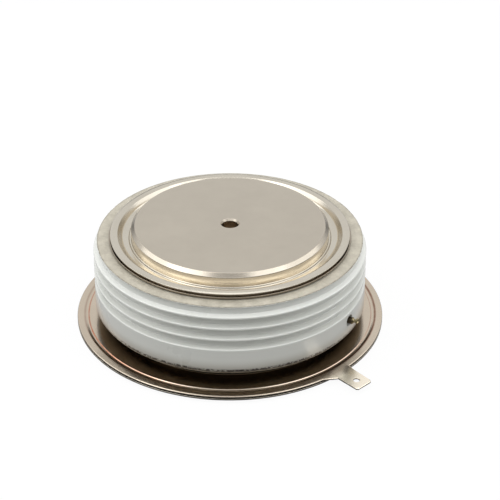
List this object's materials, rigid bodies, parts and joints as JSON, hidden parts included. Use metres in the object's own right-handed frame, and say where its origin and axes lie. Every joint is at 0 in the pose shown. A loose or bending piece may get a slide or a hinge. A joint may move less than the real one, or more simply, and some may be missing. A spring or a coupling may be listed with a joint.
{
  "type": "disc thyristor",
  "caption": "Flat round power semiconductor capsule: ribbed white ceramic ring between nickel-plated contact faces, with a wide welded flange, a solder tab and a gate tube.",
  "frame": {"origin": "centre of the cathode contact face, which is the underside that the part stands on", "axes": "+Z along the axis from the cathode face up to the anode face; the solder tab lies between +X and -Y"},
  "size_m": [0.075, 0.075, 0.026],
  "materials": {
    "nickel": "satin nickel plating on copper",
    "plating": "plated braze metal with a ragged edge",
    "glaze": "white glazed alumina",
    "gate_metal": "dull plated brass",
    "copper": "bare copper",
    "silver": "soft silver",
    "molybdenum": "lapped molybdenum",
    "silicon": "lapped silicon",
    "seal_rubber": "silicone rubber",
    "insulator": "white fluoropolymer",
    "spring_steel": "spring wire"
  },
  "bodies": {
    "root": {"anode_pole_piece": "nickel", "anode_diaphragm": "nickel", "weld_flange": "nickel", "cap_flange": "nickel", "cathode_pole_piece": "nickel", "anode_braze_ring": "plating", "cathode_braze_ring": "plating", "ceramic_ring": "glaze", "gate_tube": "gate_metal", "gate_lead": "copper", "anode_silver_foil": "silver", "cathode_silver_foil": "silver", "gate_plunger": "silver", "anode_molybdenum_disc": "molybdenum", "cathode_molybdenum_disc": "molybdenum", "silicon_wafer": "silicon", "wafer_edge_seal": "seal_rubber", "centring_ring": "insulator", "gate_insulator_cup": "insulator", "gate_guide_bush": "insulator", "gate_lead_sleeve": "insulator", "gate_spring": "spring_steel"}
  },
  "joints": []
}
